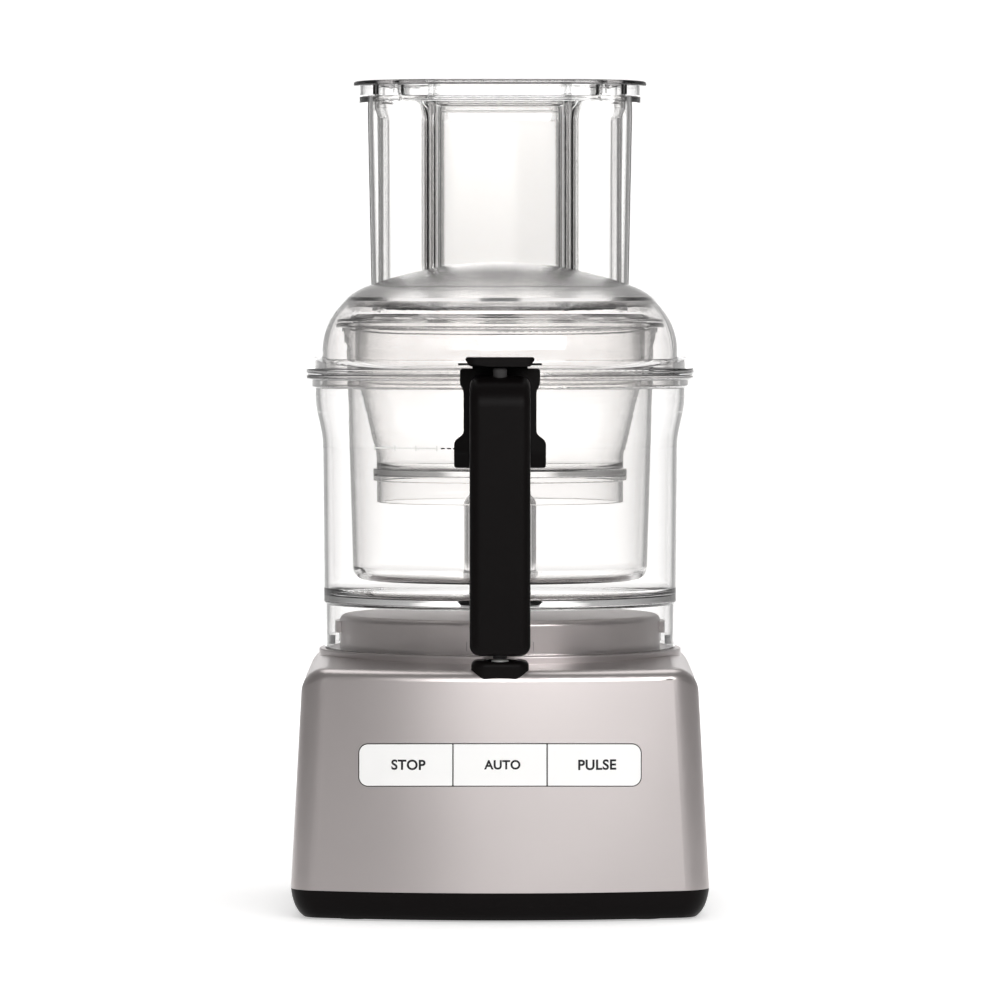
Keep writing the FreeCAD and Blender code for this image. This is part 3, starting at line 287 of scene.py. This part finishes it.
def finish_nodes():
    """Gives every node the finish of its material slot. The lid's dome is frosted near its top."""
    for part in frame["record"]["subparts"]:
        finish = "frosted_lid" if part["node"] == "lid_dome" else part["material_slot"]
        for slot in frame["nodes"][part["node"]].material_slots:
            slot.material = FINISHES[finish]


# ---- modelling helpers ---------------------------------------------------------------------------
def start(name, finish, add, **place):
    """Adds a primitive with nothing else selected, names it and gives it its finish."""
    bpy.ops.object.select_all(action="DESELECT")
    add(**place)
    piece = bpy.context.object
    piece.name = name
    piece.data.name = name
    piece.data.materials.clear()
    piece.data.materials.append(FINISHES[finish])
    return piece


def settle(piece):
    """Puts a piece's place in its mesh."""
    bpy.ops.object.transform_apply(location=True, rotation=True, scale=True)
    return piece


def apply_modifier(piece, kind, **settings):
    bpy.context.view_layer.objects.active = piece
    modifier = piece.modifiers.new(kind.title(), kind)
    for name, value in settings.items():
        setattr(modifier, name, value)
    bpy.ops.object.modifier_apply(modifier=modifier.name)


def lay_print(piece, node, backwards):
    """Lays a flat print on a node's front, straight along Y, and gives the ink its thickness."""
    apply_modifier(
        piece,
        "SHRINKWRAP",
        target=frame["nodes"][node],
        wrap_method="PROJECT",
        use_project_y=True,
        use_positive_direction=True,
        use_negative_direction=backwards,
        offset=INK_GAP,
    )
    apply_modifier(piece, "SOLIDIFY", thickness=INK_THICKNESS, offset=-1)


# ---- printed legends -----------------------------------------------------------------------------
def legend(word, button, body, width):
    """Word printed on a button: bold text laid on the button's curved face, width metres wide."""
    low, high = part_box(button)
    name = f"{word.lower()}_legend"
    shift, boldness, first_size = 1.3 * MM, 0.19 * MM, 7.0 * MM
    middle = Vector(((low.x + high.x) / 2 + shift, low.y - PRINT_STANDOFF, (low.z + high.z) / 2))
    piece = start(name, "legend_ink", bpy.ops.object.text_add, location=middle, rotation=UPRIGHT)
    piece.data.body = word
    piece.data.align_x = "CENTER"
    piece.data.align_y = "CENTER"
    piece.data.space_character = 1.05
    piece.data.offset = boldness
    piece.data.size = first_size
    bpy.context.view_layer.update()
    piece.data.size *= width / piece.dimensions.x
    bpy.ops.object.convert(target="MESH")
    piece = bpy.context.object
    piece.name = name
    settle(piece)
    lay_print(piece, button, True)
    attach(piece, body)


# ---- printed level mark --------------------------------------------------------------------------
def strip(name, across, up, finish):
    """Thin printed line on the front of the main bowl. across and up are spans in x and z."""
    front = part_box("main_bowl")[0].y - PRINT_STANDOFF
    middle = (sum(across) / 2, front, sum(up) / 2)
    add = bpy.ops.mesh.primitive_plane_add
    piece = start(name, finish, add, size=1, location=middle, rotation=UPRIGHT)
    piece.scale = (across[1] - across[0], up[1] - up[0], 1)
    settle(piece)
    bpy.ops.object.mode_set(mode="EDIT")
    bpy.ops.mesh.select_all(action="SELECT")
    bpy.ops.mesh.subdivide(number_cuts=16)
    bpy.ops.object.mode_set(mode="OBJECT")
    lay_print(piece, "main_bowl", False)
    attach(piece, "bowl")


def level_mark():
    """Printed fill line on the main bowl: white with ticks, then dark dashes beside the grip."""
    z, thick = 235 * MM, 0.35 * MM
    left, right, ticks = -64 * MM, -32 * MM, 4
    strip("level_line", (left, right), (z - thick, z + thick), "mark_ink")
    for index in range(ticks):
        x = left + (right - left) * index / (ticks - 1)
        across, up = (x - thick, x + thick), (z - 4 * thick, z + 4 * thick)
        strip(f"level_tick_{index + 1}", across, up, "mark_ink")
    first, pitch, length, dashes = -30 * MM, 3.1 * MM, 2.1 * MM, 4
    for index in range(dashes):
        x = first + index * pitch
        across, up = (x, x + length), (z - thick, z + thick)
        strip(f"level_dash_{index + 1}", across, up, "legend_ink")


# ---- moulded beads -------------------------------------------------------------------------------
def bead(name, centre, half, corner, thickness, finish, body):
    """Round bead along the edge of a rounded plate.

    half is the half width and half depth of the bead's centre line, and corner is its corner radius.
    """
    piece = start(name, finish, bpy.ops.mesh.primitive_plane_add, size=2, location=centre)
    piece.scale = (half[0], half[1], 1)
    settle(piece)
    bpy.ops.object.mode_set(mode="EDIT")
    bpy.ops.mesh.select_all(action="SELECT")
    bpy.ops.mesh.bevel(affect="VERTICES", offset=corner, segments=32, profile=0.5)
    bpy.ops.mesh.select_all(action="SELECT")
    bpy.ops.mesh.delete(type="ONLY_FACE")
    bpy.ops.object.mode_set(mode="OBJECT")
    bpy.ops.object.convert(target="CURVE")
    bpy.context.object.data.bevel_depth = thickness / 2
    bpy.context.object.data.bevel_resolution = 4
    bpy.ops.object.convert(target="MESH")
    piece = bpy.context.object
    # The change to a curve drops the finish, so it is given again.
    piece.data.materials.append(FINISHES[finish])
    bpy.ops.object.shade_smooth()
    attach(piece, body)


def plate_bead(name, node, thickness, corner, finish, body):
    """Bead round the widest plate of a node, at the plate's top."""
    low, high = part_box(node)
    round_r = thickness / 2
    half = ((high.x - low.x) / 2 - round_r, (high.y - low.y) / 2 - round_r)
    centre = ((low.x + high.x) / 2, (low.y + high.y) / 2, high.z - round_r)
    bead(name, centre, half, corner - round_r, thickness, finish, body)


def moulded_beads():
    """Thick rims of the bowl, of the tube's mouth and of the large pusher's flange."""
    low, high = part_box("main_bowl")
    bowl_r = (high.x - low.x) / 2
    # The bowl's bead and the flange's bead take grey-tinted finishes. This is painted shade for the dark
    # lines along these rims. The mouth's bead stays clear.
    plate_bead("bowl_rim_bead", "main_bowl", 2.6 * MM, bowl_r * 0.998, "grey_rim", "bowl")
    plate_bead("flange_bead", "large_pusher", 2.6 * MM, 42 * MM, "shade_dark_rim", "pusher")
    plate_bead("mouth_bead", "feed_tube", 3.2 * MM, 40 * MM, "clear_lid", "lid")


# ---- studio --------------------------------------------------------------------------------------
GLOW = 0.95
FLOOR_BACK = 2.0
PAPER_WIDTH = 12


def studio_paper():
    """Matt white paper that glows behind the machine like a lit backdrop, and fades out to both sides. It
    also glows at about half strength under the machine and at under a third further in front: painted light
    that lifts the machine's shadow off the floor.
    """
    finish = Finish("studio_paper", {"Specular IOR Level": 0.1, "Emission Strength": GLOW})
    clouds = finish.noise(1.5, 1.0)
    finish.feed("Base Color", finish.tint(clouds, (0.90, 0.90, 0.90), (0.92, 0.92, 0.92)))
    finish.feed("Roughness", 0.8 + clouds * 0.1)
    across = finish.along("X")
    beside = finish.fade(across.math("ABSOLUTE", across), 0.85, 0.6)
    # Painted light: the floor glows under and in front of the machine too, at about half strength under it
    # and 0.3 far in front, which washes out the machine's shadow.
    depth_glow = finish.fade(finish.along("Y"), -1.0, 2.2, low=0.30)
    above = finish.fade(finish.along("Z"), 1.0, 0.7)
    glow = beside * depth_glow * above
    finish.feed("Emission Color", finish.tint(glow, (0, 0, 0), (1.0, 0.995, 0.99)))
    return finish.material


def paper(name, width, depth, middle_y):
    """Flat sheet of studio paper on the floor."""
    bpy.ops.object.select_all(action="DESELECT")
    bpy.ops.mesh.primitive_plane_add(size=1, location=(0, middle_y, 0))
    sheet = bpy.context.object
    sheet.name = name
    sheet.scale = (width, depth, 1)
    settle(sheet)
    return sheet


def backdrop():
    """Curved sheet behind the floor, which lights the clear walls and isn't seen itself."""
    lip = 0.2
    wall = paper("backdrop", PAPER_WIDTH, lip, FLOOR_BACK - lip / 2)
    radius, steps, rise_above = 1.0, 16, 4
    for vertex in wall.data.vertices:
        vertex.select = vertex.co.y > FLOOR_BACK - 0.01
    for edge in wall.data.edges:
        edge.select = all(wall.data.vertices[index].select for index in edge.vertices)
    for face in wall.data.polygons:
        face.select = False
    bpy.ops.object.mode_set(mode="EDIT")
    bpy.ops.mesh.select_mode(type="EDGE")
    for step in range(steps):
        low, high = (math.pi / 2 * (step + more) / steps for more in (0, 1))
        run = radius * (math.sin(high) - math.sin(low))
        rise = radius * (math.cos(low) - math.cos(high))
        bpy.ops.mesh.extrude_region_move(TRANSFORM_OT_translate={"value": (0, run, rise)})
    bpy.ops.mesh.extrude_region_move(TRANSFORM_OT_translate={"value": (0, 0, rise_above)})
    bpy.ops.object.mode_set(mode="OBJECT")
    bpy.ops.object.shade_smooth()
    wall.location.z = -1 * MM
    settle(wall)
    wall.visible_camera = False
    return wall


def lamp(name, place, target, size, power):
    data = bpy.data.lights.new(name, "AREA")
    data.shape = "RECTANGLE"
    data.size, data.size_y = size
    data.energy = power
    light = bpy.data.objects.new(name, data)
    bpy.context.scene.collection.objects.link(light)
    light.location = place
    light.rotation_euler = (Vector(target) - Vector(place)).to_track_quat("-Z", "Y").to_euler()


def studio():
    material = studio_paper()
    floor_depth = 7
    floor = paper("floor", PAPER_WIDTH, floor_depth, FLOOR_BACK - floor_depth / 2)
    for sheet in (floor, backdrop()):
        sheet.data.materials.append(material)
    world = bpy.data.worlds.new("studio")
    world.use_nodes = True
    tree = world.node_tree
    background = tree.nodes["Background"]
    background.inputs["Color"].default_value = (1.0, 0.99, 0.985, 1)
    # Dim where it lights the machine, and white where it is looked at.
    seen = tree.nodes.new("ShaderNodeMapRange")
    seen.inputs["To Min"].default_value = 0.17
    seen.inputs["To Max"].default_value = 1.1
    path = tree.nodes.new("ShaderNodeLightPath")
    tree.links.new(path.outputs["Is Camera Ray"], seen.inputs["Value"])
    tree.links.new(seen.outputs["Result"], background.inputs["Strength"])
    bpy.context.scene.world = world
    lamp("key_light", (0.42, -1.5, 0.74), (0.1, 0, 0.1), (1.7, 0.6), 17)
    lamp("left_light", (-2.6, -2.6, 1.0), (0, 0, 0.15), (0.8, 1.2), 1.5)
    lamp("top_light", (0.0, 0.9, 2.8), (0, 0, 0), (3.0, 2.4), 34)
    scene = bpy.context.scene
    scene.view_settings.view_transform = "Standard"
    scene.cycles.max_bounces = 40
    scene.cycles.transmission_bounces = 40
    scene.cycles.transparent_max_bounces = 40


def camera():
    data = bpy.data.cameras.new("camera")
    data.sensor_width = 36.0
    data.lens = 222.9
    data.clip_end = 50
    view = bpy.data.objects.new("camera", data)
    bpy.context.scene.collection.objects.link(view)
    view.location = (0, -3.2, 0.300)
    target = Vector((0, 0, 0.207))
    view.rotation_euler = (target - view.location).to_track_quat("-Z", "Y").to_euler()
    bpy.context.scene.camera = view


camera()
finish_nodes()
legend("STOP", "stop_button", "stop_key", 17 * MM)
legend("AUTO", "auto_button", "auto_key", 18 * MM)
legend("PULSE", "pulse_button", "pulse_key", 19 * MM)
level_mark()
moulded_beads()
studio()
